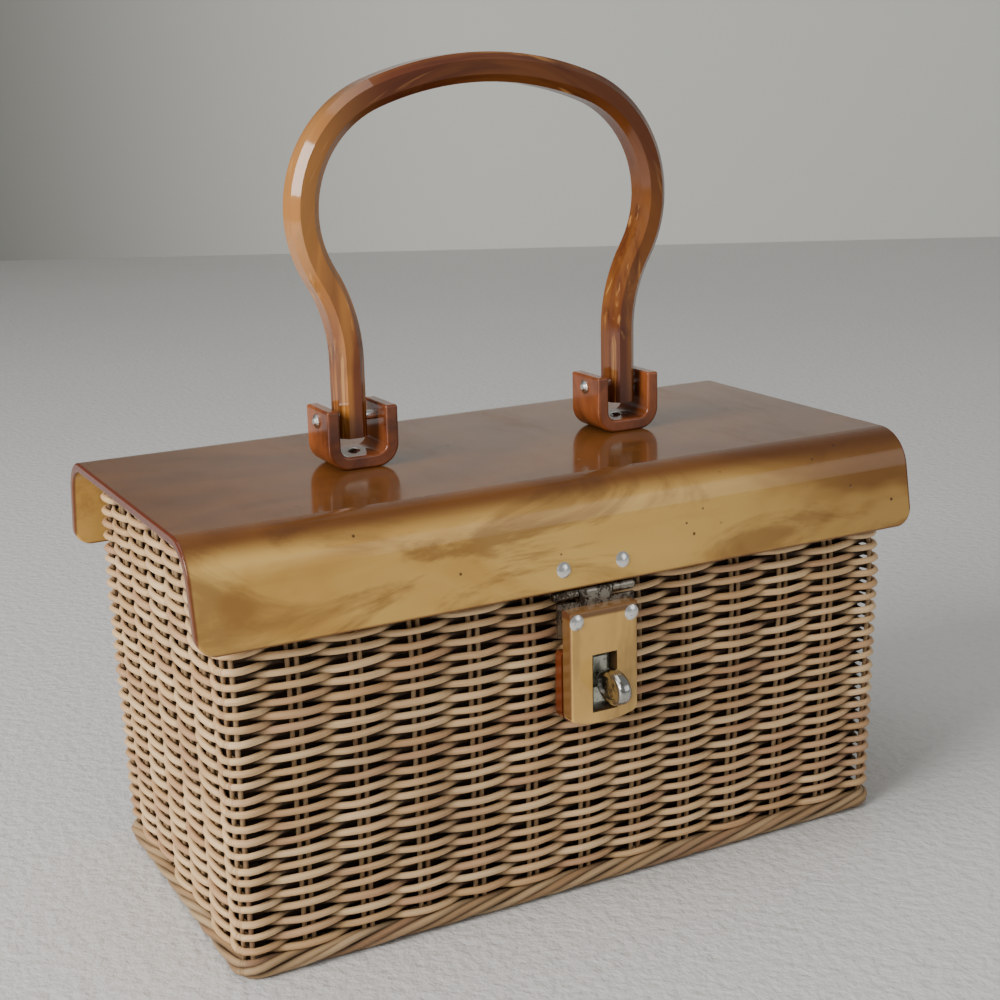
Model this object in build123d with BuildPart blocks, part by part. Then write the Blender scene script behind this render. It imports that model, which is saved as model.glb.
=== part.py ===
"""Box bag: a woven wicker basket under a bent plastic lid, with a hoop handle and a turn-lock latch.

Millimetres. X runs along the bag, Y from front (-) to back (+), Z up. The origin is the middle of the
basket's underside.
"""
import os
from math import asin, cos, radians, sin, sqrt, tan

from build123d import *

os.makedirs("parts", exist_ok=True)

# ---- driving dimensions -------------------------------------------------------------------------
RUN = 0.06                 # radial clearance of a pin that turns
SNUG = 0.03                # radial clearance of a pin that stays put

# lid: one sheet bent down at the front and the back
LID_LENGTH = 240.0
LID_DEPTH = 128.0
LID_TOP = 129.0
SHEET = 3.0
APRON_HEIGHT = 30.0
APRON_TILT = 10.0
LID_BEND = 13.0
APRON_CORNER = 6.0
LID_EDGE_ROUND = 0.7

# basket: how far its faces stand in from the lid's outline at foot, waist and top
FOOT_HEIGHT = 6.0
WAIST_HEIGHT = 86.0
WALL = 5.7
FOOT_END_GAP, WAIST_END_GAP, TOP_END_GAP = 7.2, 6.4, 6.6
FOOT_FRONT_GAP, WAIST_FRONT_GAP, TOP_FRONT_GAP = 5.5, 4.0, 8.6
FOOT_BACK_GAP, WAIST_BACK_GAP, TOP_BACK_GAP = 11.5, 7.0, 8.6
BASKET_CORNER = 6.5
SHARPEST_CORNER = 0.6
FOOT_PROUD = 1.3
BASE_THICKNESS = 4.0
BASE_LIFT = 1.5
RIM_RADIUS = 3.0
RIM_GAP = 2.4              # between the rim border and the lid's underside

# handle and its brackets
BRACKET_SPACING = 94.0
BRACKET_WIDTH = 23.0
BRACKET_DEPTH = 17.0
BRACKET_SHEET = 4.0
BRACKET_BEND = 7.0
PIN_HEIGHT = 14.6
PIN_COVER = 3.9            # bracket above the pin's axis
HANDLE_PIN_RADIUS = 1.5
PIN_HEAD_RADIUS, PIN_HEAD = 2.2, 1.2
HANDLE_SPREAD = 2.0        # the legs stand this much further apart than the brackets' middles
HANDLE_WIDTH = 129.0
HANDLE_REACH = 106.3       # pin axis to the top of the hoop
HANDLE_SHOULDER = 61.5     # pin axis to the widest point of the hoop
HANDLE_IN_PLANE = 8.8
HANDLE_DEPTH = 10.5
HANDLE_BEVEL = 2.2
SHOULDER_RADIUS = 36.0
FLARE_RADIUS = 50.0
LEG_END = 5.7

# butt hinges: two at the back, one for the latch plate
HINGE_WIDTH = 26.0
HINGE_MIDDLE = 11.0
KNUCKLE_RADIUS = 1.6
KNUCKLE_DROP = 1.8         # knuckle axis below the apron's lower edge
KNUCKLE_INSET = 1.4        # knuckle axis in from the apron's outer edge
KNUCKLE_GAP = 0.3
HINGE_PIN_RADIUS = 0.75
LEAF = 0.8
LEAF_HEIGHT = 10.0
LEAF_DROP = 0.4            # gap between the barrel and the edge of a basket-side leaf
HINGE_RIVET_MARGIN = 3.0
HINGE_RIVET_RISE = 5.6
REAR_HINGE_SPACING = 130.0

# rivets
RIVET_HEAD, RIVET_DOME = 2.35, 0.8
RIVET_SHANK = 1.2
RIVET_TAIL, RIVET_TAIL_HEIGHT = 1.9, 0.5

# latch plate and turn lock
LATCH_WIDTH = 23.0
LATCH_HEIGHT = 35.5
LATCH_GAP = 2.1            # below the hinge barrel
LATCH_BULGE = 2.0
LATCH_THICKNESS = 4.5
LATCH_RIVET_MARGIN = 2.2
LATCH_RIVET_DROP = 3.0
SLOT_WIDTH = 8.4
SLOT_HEIGHT = 17.7
LOCK_RISE = 12.8           # spindle above the latch plate's lowest point
LOCK_Block_z = 22.0
LOCK_PLATE_MARGIN = 3.0
LOCK_PLATE_HEIGHT, LOCK_PLATE = 19.5, 0.8
LOCK_RIVET_MARGIN = 2.3
GUIDE_WIDTH, GUIDE_HEIGHT, GUIDE_PROUD = 4.6, 4.8, 2.0
GUIDE_GAP = 0.4            # between a guide block and the spindle's neck
LOCK_GAP = 0.2             # between the shut latch plate and the lock plate
KNOB_WIDTH = 10.6
KNOB_DEPTH = 14.6
KNOB_THICKNESS = 4.4
KNOB_STANDOFF = 4.9        # middle of the oval head in front of the latch plate
KNOB_ROUND = 1.7
KNOB_DISH, KNOB_DISH_RIM = 0.6, 2.0
NECK_RADIUS = 1.9
SPINDLE_RADIUS = 1.5
WASHER_RADIUS, WASHER = 4.0, 1.0
BACK_PLATE_SIZE = 20.0

# ---- places shared by several pieces ------------------------------------------------------------
tilt = radians(APRON_TILT)
half_length = LID_LENGTH / 2
half_depth = LID_DEPTH / 2
apron_edge = LID_TOP - APRON_HEIGHT
inner_edge = half_depth - SHEET / cos(tilt)
wall_top = LID_TOP - SHEET - RIM_GAP - 2 * RIM_RADIUS
foot_outline = (half_length - FOOT_END_GAP, FOOT_FRONT_GAP - half_depth, half_depth - FOOT_BACK_GAP)
waist_outline = (half_length - WAIST_END_GAP, WAIST_FRONT_GAP - half_depth, half_depth - WAIST_BACK_GAP)
top_outline = (half_length - TOP_END_GAP, TOP_FRONT_GAP - half_depth, half_depth - TOP_BACK_GAP)
pin_z = LID_TOP + PIN_HEIGHT
leg_x = (BRACKET_SPACING + HANDLE_SPREAD) / 2
knuckle_z = apron_edge - KNUCKLE_DROP
knuckle_y = half_depth - KNUCKLE_INSET
hinge_rivet_x = HINGE_WIDTH / 2 - HINGE_RIVET_MARGIN
rear_rivet_z = knuckle_z - KNUCKLE_RADIUS - LEAF_DROP - HINGE_RIVET_RISE
latch_face = knuckle_y + KNUCKLE_RADIUS
latch_top = knuckle_z - KNUCKLE_RADIUS - LATCH_GAP
latch_bottom = latch_top - LATCH_HEIGHT
latch_rivet_x = LATCH_WIDTH / 2 - LATCH_RIVET_MARGIN
latch_rivet_z = latch_top - LATCH_RIVET_DROP
lock_z = latch_bottom + LOCK_RISE
lock_plate_face = latch_face - LOCK_GAP
lock_plate_width = LATCH_WIDTH - 2 * LOCK_PLATE_MARGIN
lock_rivet_x = lock_plate_width / 2 - LOCK_RIVET_MARGIN


def wall_y(front, z):
    """The outer wall face at a height: straight from foot to waist, and from waist to top."""
    pick = 1 if front else 2
    foot, waist, top = foot_outline[pick], waist_outline[pick], top_outline[pick]
    if z < WAIST_HEIGHT:
        return foot + (waist - foot) * z / WAIST_HEIGHT
    return waist + (top - waist) * (z - WAIST_HEIGHT) / (wall_top - WAIST_HEIGHT)


def outline(size, inset=0.0, mode=Mode.ADD):
    """A rounded rectangle (half length, front face, back face) drawn in by inset, in the open sketch."""
    half, front, back = size
    corner = max(BASKET_CORNER - inset, SHARPEST_CORNER)
    with Locations((0, (front + back) / 2)):
        RectangleRounded(2 * (half - inset), back - front - 2 * inset, corner, mode=mode)


def basket_body(inset, bottom, top):
    """The basket's outer form, or the same form drawn in by inset, as one solid between two heights."""
    with BuildPart(mode=Mode.PRIVATE) as form:
        for lower_z, lower, upper_z, upper in (
            (0.0, foot_outline, WAIST_HEIGHT, waist_outline),
            (WAIST_HEIGHT, waist_outline, wall_top, top_outline),
        ):
            with BuildSketch(Plane.XY.offset(lower_z)):
                outline(lower, inset)
            with BuildSketch(Plane.XY.offset(upper_z)):
                outline(upper, inset)
            loft(ruled=True)
        with Locations((0, 0, (bottom + top) / 2)):
            Box(2 * LID_LENGTH, 2 * LID_DEPTH, top - bottom, mode=Mode.INTERSECT)
    return form.part


outer_form = basket_body(0, 0, wall_top)

# ---- basket -------------------------------------------------------------------------------------
with BuildPart() as foot_border:
    with BuildSketch():
        outline(foot_outline, -FOOT_PROUD)
        outline(foot_outline, WALL, Mode.SUBTRACT)
    extrude(amount=FOOT_HEIGHT)
    fillet(foot_border.faces().sort_by(Axis.Z)[-1].outer_wire().edges(), FOOT_PROUD)
    fillet(foot_border.faces().sort_by(Axis.Z)[0].outer_wire().edges(), FOOT_PROUD)
foot_border.part.label = "foot_border"

with BuildPart() as basket_wall:
    add(basket_body(0, FOOT_HEIGHT, wall_top))
    add(basket_body(WALL, FOOT_HEIGHT, wall_top), mode=Mode.SUBTRACT)
    # holes for the lock spindle, the lock rivets and the rear hinge rivets
    with BuildSketch(Plane.XZ.offset(half_depth - 3 * WALL)):
        with Locations((0, lock_z)):
            Circle(SPINDLE_RADIUS + RUN)
        with Locations((-lock_rivet_x, lock_z), (lock_rivet_x, lock_z)):
            Circle(RIVET_SHANK + SNUG)
    extrude(amount=4 * WALL, mode=Mode.SUBTRACT)
    with BuildSketch(Plane.XZ.offset(3 * WALL - half_depth)):
        for side in (-1, 1):
            hinge_x = side * REAR_HINGE_SPACING / 2
            with Locations((hinge_x - hinge_rivet_x, rear_rivet_z), (hinge_x + hinge_rivet_x, rear_rivet_z)):
                Circle(RIVET_SHANK + SNUG)
    extrude(amount=-4 * WALL, mode=Mode.SUBTRACT)
basket_wall.part.label = "basket_wall"

with BuildPart() as basket_base:
    with BuildSketch(Plane.XY.offset(BASE_LIFT)):
        outline(foot_outline, WALL + 0.02)
    extrude(amount=BASE_THICKNESS)
basket_base.part.label = "basket_base"

rim_z = wall_top + RIM_RADIUS
with BuildPart() as rim_border:
    with BuildLine(Plane.XY.offset(rim_z)) as rim_line:
        half_x = top_outline[0] - WALL / 2
        front_y, back_y = top_outline[1] + WALL / 2, top_outline[2] - WALL / 2
        bend = max(BASKET_CORNER - WALL / 2, RIM_RADIUS + SHARPEST_CORNER)
        rim_run = Polyline(
            (0, front_y),
            (half_x, front_y),
            (half_x, back_y),
            (-half_x, back_y),
            (-half_x, front_y),
            (0, front_y),
        )
        fillet([v for v in rim_line.vertices() if abs(v.X) > 1], bend)
    with BuildSketch(Plane(origin=(0, front_y, rim_z), z_dir=(1, 0, 0))):
        Circle(RIM_RADIUS)
    sweep(path=rim_line.wires()[0])
rim_border.part.label = "rim_border"

# ---- lid ----------------------------------------------------------------------------------------
front_apron = Plane(origin=(0, -inner_edge, apron_edge), x_dir=(-1, 0, 0), z_dir=(0, cos(tilt), -sin(tilt)))
back_apron = Plane(origin=(0, inner_edge, apron_edge), x_dir=(1, 0, 0), z_dir=(0, -cos(tilt), -sin(tilt)))
bracket_xs = (-BRACKET_SPACING / 2, BRACKET_SPACING / 2)
rear_hinge_xs = (-REAR_HINGE_SPACING / 2, REAR_HINGE_SPACING / 2)

with BuildPart() as lid:
    with BuildSketch(Plane.YZ) as lid_section:
        shoulder = half_depth - APRON_HEIGHT * tan(tilt)
        Polygon(
            (-half_depth, apron_edge), (half_depth, apron_edge), (shoulder, LID_TOP), (-shoulder, LID_TOP),
            align=None,
        )
        fillet(lid_section.vertices().group_by(Axis.Y)[-1], LID_BEND)
    extrude(amount=half_length, both=True)
    with BuildSketch(Plane.YZ) as lid_hollow:
        low = APRON_HEIGHT
        high = APRON_HEIGHT - SHEET
        Polygon(
            (-inner_edge - low * tan(tilt), apron_edge - low),
            (inner_edge + low * tan(tilt), apron_edge - low),
            (inner_edge - high * tan(tilt), LID_TOP - SHEET),
            (-inner_edge + high * tan(tilt), LID_TOP - SHEET),
            align=None,
        )
        fillet(lid_hollow.vertices().group_by(Axis.Y)[-1], LID_BEND - SHEET)
    extrude(amount=half_length, both=True, mode=Mode.SUBTRACT)
    fillet(lid.edges().filter_by(Axis.Y).group_by(Axis.Z)[0], APRON_CORNER)
    fillet(lid.edges(), LID_EDGE_ROUND)
    with Locations(*[(x, 0, LID_TOP - SHEET) for x in bracket_xs]):
        Cylinder(RIVET_SHANK + SNUG, 4 * SHEET, mode=Mode.SUBTRACT)
    with Locations(*[front_apron * Pos(x, HINGE_RIVET_RISE, 0) for x in (-hinge_rivet_x, hinge_rivet_x)]):
        Cylinder(RIVET_SHANK + SNUG, 4 * SHEET, mode=Mode.SUBTRACT)
    for hinge_x in rear_hinge_xs:
        for x in (hinge_x - hinge_rivet_x, hinge_x + hinge_rivet_x):
            with Locations(back_apron * Pos(x, HINGE_RIVET_RISE, 0)):
                Cylinder(RIVET_SHANK + SNUG, 4 * SHEET, mode=Mode.SUBTRACT)
lid.part.label = "lid"

# ---- handle -------------------------------------------------------------------------------------
with BuildPart() as handle:
    widest = (HANDLE_WIDTH - HANDLE_IN_PLANE) / 2
    crown = pin_z + HANDLE_REACH - HANDLE_IN_PLANE / 2
    shoulder_x, shoulder_z = widest - SHOULDER_RADIUS, pin_z + HANDLE_SHOULDER
    across = leg_x + FLARE_RADIUS - shoulder_x
    flare_z = shoulder_z - sqrt((FLARE_RADIUS + SHOULDER_RADIUS) ** 2 - across**2)
    rise = crown - shoulder_z
    crown_radius = (shoulder_x**2 + rise**2 - SHOULDER_RADIUS**2) / (2 * (rise - SHOULDER_RADIUS))
    share = SHOULDER_RADIUS / (FLARE_RADIUS + SHOULDER_RADIUS)
    flare_end = (shoulder_x + across * share, shoulder_z + (flare_z - shoulder_z) * share)
    share = crown_radius / (crown_radius - SHOULDER_RADIUS)
    crown_end = (shoulder_x * share, crown - crown_radius + (shoulder_z - crown + crown_radius) * share)
    with BuildLine(Plane.XZ) as hoop:
        leg = Line((-leg_x, pin_z - LEG_END), (-leg_x, flare_z))
        flare = TangentArc(leg @ 1, (-flare_end[0], flare_end[1]), tangent=leg % 1)
        shoulder_arc = TangentArc(flare @ 1, (-crown_end[0], crown_end[1]), tangent=flare % 1)
        crown_arc = TangentArc(shoulder_arc @ 1, crown_end, tangent=shoulder_arc % 1)
        far_shoulder = TangentArc(crown_arc @ 1, flare_end, tangent=crown_arc % 1)
        far_flare = TangentArc(far_shoulder @ 1, (leg_x, flare_z), tangent=far_shoulder % 1)
        Line(far_flare @ 1, (leg_x, pin_z - LEG_END))
    with BuildSketch(Plane(origin=(-leg_x, 0, pin_z - LEG_END), z_dir=(0, 0, 1))) as hoop_section:
        Rectangle(HANDLE_IN_PLANE, HANDLE_DEPTH)
        chamfer(hoop_section.vertices(), HANDLE_BEVEL)
    sweep(path=hoop.wires()[0])
    with Locations((-leg_x, 0, pin_z), (leg_x, 0, pin_z)):
        Cylinder(HANDLE_PIN_RADIUS + RUN, 3 * HANDLE_IN_PLANE, rotation=(0, 90, 0), mode=Mode.SUBTRACT)
handle.part.label = "handle"

# ---- bracket, pin and rivet on each side of the handle ------------------------------------------
bracket_height = PIN_HEIGHT + PIN_COVER
for side, bracket_x in (("left", bracket_xs[0]), ("right", bracket_xs[1])):
    with BuildPart() as bracket:
        with BuildSketch(Plane.XZ.offset(-BRACKET_DEPTH / 2)) as strap:
            with Locations((bracket_x, LID_TOP)):
                Rectangle(BRACKET_WIDTH, bracket_height, align=(Align.CENTER, Align.MIN))
            fillet(strap.vertices().group_by(Axis.Y)[0], BRACKET_BEND)
            with BuildSketch(mode=Mode.SUBTRACT) as strap_gap:
                with Locations((bracket_x, LID_TOP + BRACKET_SHEET)):
                    gap_width = BRACKET_WIDTH - 2 * BRACKET_SHEET
                    Rectangle(gap_width, bracket_height, align=(Align.CENTER, Align.MIN))
                fillet(strap_gap.vertices().group_by(Axis.Y)[0], BRACKET_BEND - BRACKET_SHEET)
        extrude(amount=BRACKET_DEPTH)
        fillet(bracket.edges(), 0.8)
        with Locations((bracket_x, 0, pin_z)):
            Cylinder(HANDLE_PIN_RADIUS + SNUG, 2 * BRACKET_WIDTH, rotation=(0, 90, 0), mode=Mode.SUBTRACT)
        with Locations((bracket_x, 0, LID_TOP)):
            Cylinder(RIVET_SHANK + SNUG, 3 * BRACKET_SHEET, mode=Mode.SUBTRACT)
    bracket.part.label = side + "_bracket"
    export_step(bracket.part, "parts/" + side + "_bracket.step")

    with BuildPart() as pin:
        reach = BRACKET_WIDTH / 2
        with BuildSketch(Plane(origin=(bracket_x, 0, pin_z), x_dir=(1, 0, 0), z_dir=(0, -1, 0))):
            with BuildLine():
                Polyline(
                    (-reach - PIN_HEAD, 0),
                    (reach + PIN_HEAD, 0),
                    (reach + PIN_HEAD, 0.9),
                    (reach + 0.4, PIN_HEAD_RADIUS),
                    (reach, PIN_HEAD_RADIUS),
                    (reach, HANDLE_PIN_RADIUS),
                    (-reach, HANDLE_PIN_RADIUS),
                    (-reach, PIN_HEAD_RADIUS),
                    (-reach - 0.4, PIN_HEAD_RADIUS),
                    (-reach - PIN_HEAD, 0.9),
                    close=True,
                )
            make_face()
        revolve(axis=Axis((bracket_x, 0, pin_z), (1, 0, 0)))
    pin.part.label = side + "_handle_pin"
    export_step(pin.part, "parts/" + side + "_handle_pin.step")


def rivet(grip, head=RIVET_HEAD, dome=RIVET_DOME, tail=RIVET_TAIL):
    """A domed rivet along +Z: the head sits on z = 0 and its shank runs down through the grip."""
    cap = (head**2 + dome**2) / (2 * dome)
    half_turn = asin(head / cap) / 2
    with BuildPart(mode=Mode.PRIVATE) as body:
        with BuildSketch(Plane.XZ):
            with BuildLine():
                halfway = (cap * sin(half_turn), dome - cap * (1 - cos(half_turn)))
                crest = ThreePointArc((0, dome), halfway, (head, 0))
                Polyline(
                    crest @ 1,
                    (RIVET_SHANK, 0),
                    (RIVET_SHANK, -grip),
                    (tail, -grip),
                    (tail, -grip - RIVET_TAIL_HEIGHT),
                    (0, -grip - RIVET_TAIL_HEIGHT),
                    (0, dome),
                )
            make_face()
        revolve(axis=Axis.Z)
    return body.part


def flush_rivet(grip):
    """A rivet with its head cut flush: a plain shank from z = 0 down to a tail past the grip."""
    with BuildPart(mode=Mode.PRIVATE) as body:
        with Locations((0, 0, -grip / 2)):
            Cylinder(RIVET_SHANK, grip)
        with Locations((0, 0, -grip - RIVET_TAIL_HEIGHT / 2)):
            Cylinder(RIVET_TAIL, RIVET_TAIL_HEIGHT)
    return body.part


bracket_rivet = rivet(SHEET + BRACKET_SHEET, head=2.0, dome=0.9)
for side, bracket_x in (("left", bracket_xs[0]), ("right", bracket_xs[1])):
    with BuildPart() as seated:
        with Locations((bracket_x, 0, LID_TOP + BRACKET_SHEET)):
            add(bracket_rivet)
    seated.part.label = side + "_bracket_rivet"
    export_step(seated.part, "parts/" + side + "_bracket_rivet.step")

# ---- butt hinges --------------------------------------------------------------------------------
outer_knuckle = (HINGE_WIDTH - HINGE_MIDDLE) / 2 - KNUCKLE_GAP


def knuckles(x, y, middle):
    """The barrel pieces of one leaf: the middle one, or the two outer ones."""
    spans = ((0, HINGE_MIDDLE),) if middle else tuple(
        (s * (HINGE_WIDTH - outer_knuckle) / 2, outer_knuckle) for s in (-1, 1)
    )
    for offset_x, length in spans:
        with Locations((x + offset_x, y, knuckle_z)):
            Cylinder(KNUCKLE_RADIUS, length, rotation=(0, 90, 0))


def barrel_bore(x, y):
    """The pin hole through a barrel."""
    with Locations((x, y, knuckle_z)):
        Cylinder(HINGE_PIN_RADIUS + RUN, HINGE_WIDTH, rotation=(0, 90, 0), mode=Mode.SUBTRACT)


def apron_leaf(x, front):
    """A leaf lying on the inner face of an apron, with two tongues down to its outer knuckles."""
    apron = front_apron if front else back_apron
    y = -knuckle_y if front else knuckle_y
    local_x = -x if front else x
    with BuildPart(mode=Mode.PRIVATE) as leaf:
        with BuildSketch(apron):
            with Locations((local_x, 0.3)):
                Rectangle(HINGE_WIDTH, LEAF_HEIGHT, align=(Align.CENTER, Align.MIN))
            for s in (-1, 1):
                with Locations((local_x + s * (HINGE_WIDTH - outer_knuckle) / 2, 0.3)):
                    Rectangle(outer_knuckle, KNUCKLE_DROP + 0.6, align=(Align.CENTER, Align.MAX))
            with Locations(*[(local_x + s * hinge_rivet_x, HINGE_RIVET_RISE) for s in (-1, 1)]):
                Circle(RIVET_SHANK + SNUG, mode=Mode.SUBTRACT)
        extrude(amount=LEAF)
        knuckles(x, y, False)
        barrel_bore(x, y)
    return leaf.part


def basket_leaf(x, y, leaf_y, rivet_x, rivet_z):
    """An upright leaf below the barrel, from leaf_y inwards, with a tongue up to the middle knuckle."""
    with BuildPart(mode=Mode.PRIVATE) as leaf:
        with Locations((x, leaf_y, knuckle_z - KNUCKLE_RADIUS - LEAF_DROP)):
            Box(HINGE_WIDTH, LEAF, LEAF_HEIGHT, align=(Align.CENTER, Align.MIN, Align.MAX))
        with Locations((x, leaf_y, knuckle_z)):
            Box(HINGE_MIDDLE, LEAF, KNUCKLE_RADIUS + 1, align=(Align.CENTER, Align.MIN, Align.MAX))
        knuckles(x, y, True)
        barrel_bore(x, y)
        with Locations(*[(x + s * rivet_x, leaf_y, rivet_z) for s in (-1, 1)]):
            Cylinder(RIVET_SHANK + SNUG, 3, rotation=(90, 0, 0), mode=Mode.SUBTRACT)
    return leaf.part


def hinge_pin(x, y):
    """The pin, headed at both ends, just longer than the barrel."""
    with BuildPart(mode=Mode.PRIVATE) as body:
        with Locations((x, y, knuckle_z)):
            Cylinder(HINGE_PIN_RADIUS, HINGE_WIDTH + 0.2, rotation=(0, 90, 0))
        for s in (-1, 1):
            with Locations((x + s * (HINGE_WIDTH / 2 + 0.4), y, knuckle_z)):
                Cylinder(1.2, 0.7, rotation=(0, 90, 0))
    return body.part


def save(body, name):
    """Label one finished solid, or a set of like solids, and write it."""
    body.label = name
    export_step(body, "parts/" + name + ".step")


def apron_rivets(x, front):
    """Two rivets through the apron and its leaf, heads outside."""
    apron = front_apron if front else back_apron
    local_x = -x if front else x
    with BuildPart(mode=Mode.PRIVATE) as pair:
        for s in (-1, 1):
            place = apron * Pos(local_x + s * hinge_rivet_x, HINGE_RIVET_RISE, -SHEET) * Rot(180, 0, 0)
            with Locations(place):
                add(rivet(SHEET + LEAF))
    return pair.part


rear_leaf_y = knuckle_y - KNUCKLE_RADIUS
for side, hinge_x in (("left", rear_hinge_xs[0]), ("right", rear_hinge_xs[1])):
    save(apron_leaf(hinge_x, False), side + "_rear_hinge_lid_leaf")
    rear_leaf = basket_leaf(hinge_x, knuckle_y, rear_leaf_y, hinge_rivet_x, rear_rivet_z)
    save(rear_leaf, side + "_rear_hinge_basket_leaf")
    save(hinge_pin(hinge_x, knuckle_y), side + "_rear_hinge_pin")
    save(apron_rivets(hinge_x, False), side + "_rear_lid_rivets")
    with BuildPart() as rear_block:
        with Locations((hinge_x, rear_leaf_y, rear_rivet_z)):
            Box(HINGE_WIDTH + 2, 12, LEAF_HEIGHT, align=(Align.CENTER, Align.MAX, Align.CENTER))
        add(outer_form, mode=Mode.SUBTRACT)
        with Locations(*[(hinge_x + s * hinge_rivet_x, rear_leaf_y, rear_rivet_z) for s in (-1, 1)]):
            Cylinder(RIVET_SHANK + SNUG, 40, rotation=(90, 0, 0), mode=Mode.SUBTRACT)
    save(rear_block.part, side + "_rear_hinge_block")
    with BuildPart() as rear_rivets:
        for s in (-1, 1):
            inner = wall_y(False, rear_rivet_z) - WALL
            place = Pos(hinge_x + s * hinge_rivet_x, rear_leaf_y + LEAF, rear_rivet_z) * Rot(-90, 0, 0)
            with Locations(place):
                add(rivet(rear_leaf_y + LEAF - inner + 0.15))
    save(rear_rivets.part, side + "_rear_basket_rivets")

# ---- latch plate --------------------------------------------------------------------------------
latch_leaf_y = -latch_face
save(apron_leaf(0, True), "latch_hinge_lid_leaf")
plate_leaf = basket_leaf(0, -knuckle_y, latch_leaf_y, latch_rivet_x, latch_rivet_z)
save(plate_leaf, "latch_hinge_plate_leaf")
save(hinge_pin(0, -knuckle_y), "latch_hinge_pin")
save(apron_rivets(0, True), "latch_apron_rivets")

with BuildPart() as latch_plate:
    with BuildSketch(Plane.XZ.offset(latch_face)) as latch_face_sketch:
        with BuildLine():
            half = LATCH_WIDTH / 2
            left_side = Line((-half, latch_bottom + LATCH_BULGE), (-half, latch_top))
            head_edge = Line(left_side @ 1, (half, latch_top))
            right_side = Line(head_edge @ 1, (half, latch_bottom + LATCH_BULGE))
            ThreePointArc(right_side @ 1, (0, latch_bottom), left_side @ 0)
        make_face()
        fillet(latch_face_sketch.vertices().group_by(Axis.Y)[0], 2.5)
        with Locations((0, lock_z)):
            RectangleRounded(SLOT_WIDTH, SLOT_HEIGHT, 0.8, mode=Mode.SUBTRACT)
    extrude(amount=LATCH_THICKNESS)
    fillet(latch_plate.faces().sort_by(Axis.Y)[0].outer_wire().edges(), 0.8)
    with Locations(*[(s * latch_rivet_x, latch_leaf_y, latch_rivet_z) for s in (-1, 1)]):
        Cylinder(RIVET_SHANK + SNUG, 30, rotation=(90, 0, 0), mode=Mode.SUBTRACT)
save(latch_plate.part, "latch_plate")

with BuildPart() as latch_rivets:
    for s in (-1, 1):
        place = Pos(s * latch_rivet_x, latch_leaf_y - LATCH_THICKNESS, latch_rivet_z) * Rot(90, 0, 0)
        with Locations(place):
            add(rivet(LATCH_THICKNESS + LEAF))
save(latch_rivets.part, "latch_plate_rivets")

# ---- turn lock ----------------------------------------------------------------------------------
lock_wall = wall_y(True, lock_z) + WALL
back_plate_y = wall_y(True, lock_z - BACK_PLATE_SIZE / 2) + WALL

with BuildPart() as lock_block:
    with BuildSketch(Plane.XZ.offset(lock_plate_face - LOCK_PLATE)) as block_outline:
        with Locations((0, latch_bottom)):
            Rectangle(LATCH_WIDTH, LOCK_Block_z, align=(Align.CENTER, Align.MIN))
        fillet(block_outline.vertices().group_by(Axis.Y)[0], 4)
        fillet(block_outline.vertices().group_by(Axis.Y)[-1], 1.2)
    extrude(amount=-12)
    add(outer_form, mode=Mode.SUBTRACT)
    with Locations((0, -lock_plate_face, lock_z)):
        Cylinder(SPINDLE_RADIUS + RUN, 30, rotation=(90, 0, 0), mode=Mode.SUBTRACT)
    with Locations(*[(s * lock_rivet_x, -lock_plate_face, lock_z) for s in (-1, 1)]):
        Cylinder(RIVET_SHANK + SNUG, 30, rotation=(90, 0, 0), mode=Mode.SUBTRACT)
save(lock_block.part, "lock_block")


def lock_sheet(width, height, y):
    """A thin metal plate of the lock from y inwards, bored for the spindle and the two rivets."""
    with BuildPart(mode=Mode.PRIVATE) as sheet:
        with Locations((0, y, lock_z)):
            Box(width, LOCK_PLATE, height, align=(Align.CENTER, Align.MIN, Align.CENTER))
        fillet(sheet.edges().filter_by(Axis.Y), 2)
        with Locations((0, y, lock_z)):
            Cylinder(SPINDLE_RADIUS + RUN, 5, rotation=(90, 0, 0), mode=Mode.SUBTRACT)
        with Locations(*[(s * lock_rivet_x, y, lock_z) for s in (-1, 1)]):
            Cylinder(RIVET_SHANK + SNUG, 5, rotation=(90, 0, 0), mode=Mode.SUBTRACT)
    return sheet.part


# two guide blocks on the lock plate fill the slot above and below the spindle
with BuildPart() as lock_plate:
    add(lock_sheet(lock_plate_width, LOCK_PLATE_HEIGHT, -lock_plate_face))
    guide_rise = NECK_RADIUS + GUIDE_GAP + GUIDE_HEIGHT / 2
    with Locations(*[(0, -lock_plate_face, lock_z + s * guide_rise) for s in (-1, 1)]):
        Box(GUIDE_WIDTH, GUIDE_PROUD, GUIDE_HEIGHT, align=(Align.CENTER, Align.MAX, Align.CENTER))
save(lock_plate.part, "lock_plate")
save(lock_sheet(BACK_PLATE_SIZE, BACK_PLATE_SIZE, back_plate_y), "lock_back_plate")

with BuildPart() as lock_rivets:
    for s in (-1, 1):
        with Locations(Pos(s * lock_rivet_x, -lock_plate_face, lock_z) * Rot(90, 0, 0)):
            add(flush_rivet(back_plate_y + LOCK_PLATE + lock_plate_face))
save(lock_rivets.part, "lock_rivets")

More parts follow.
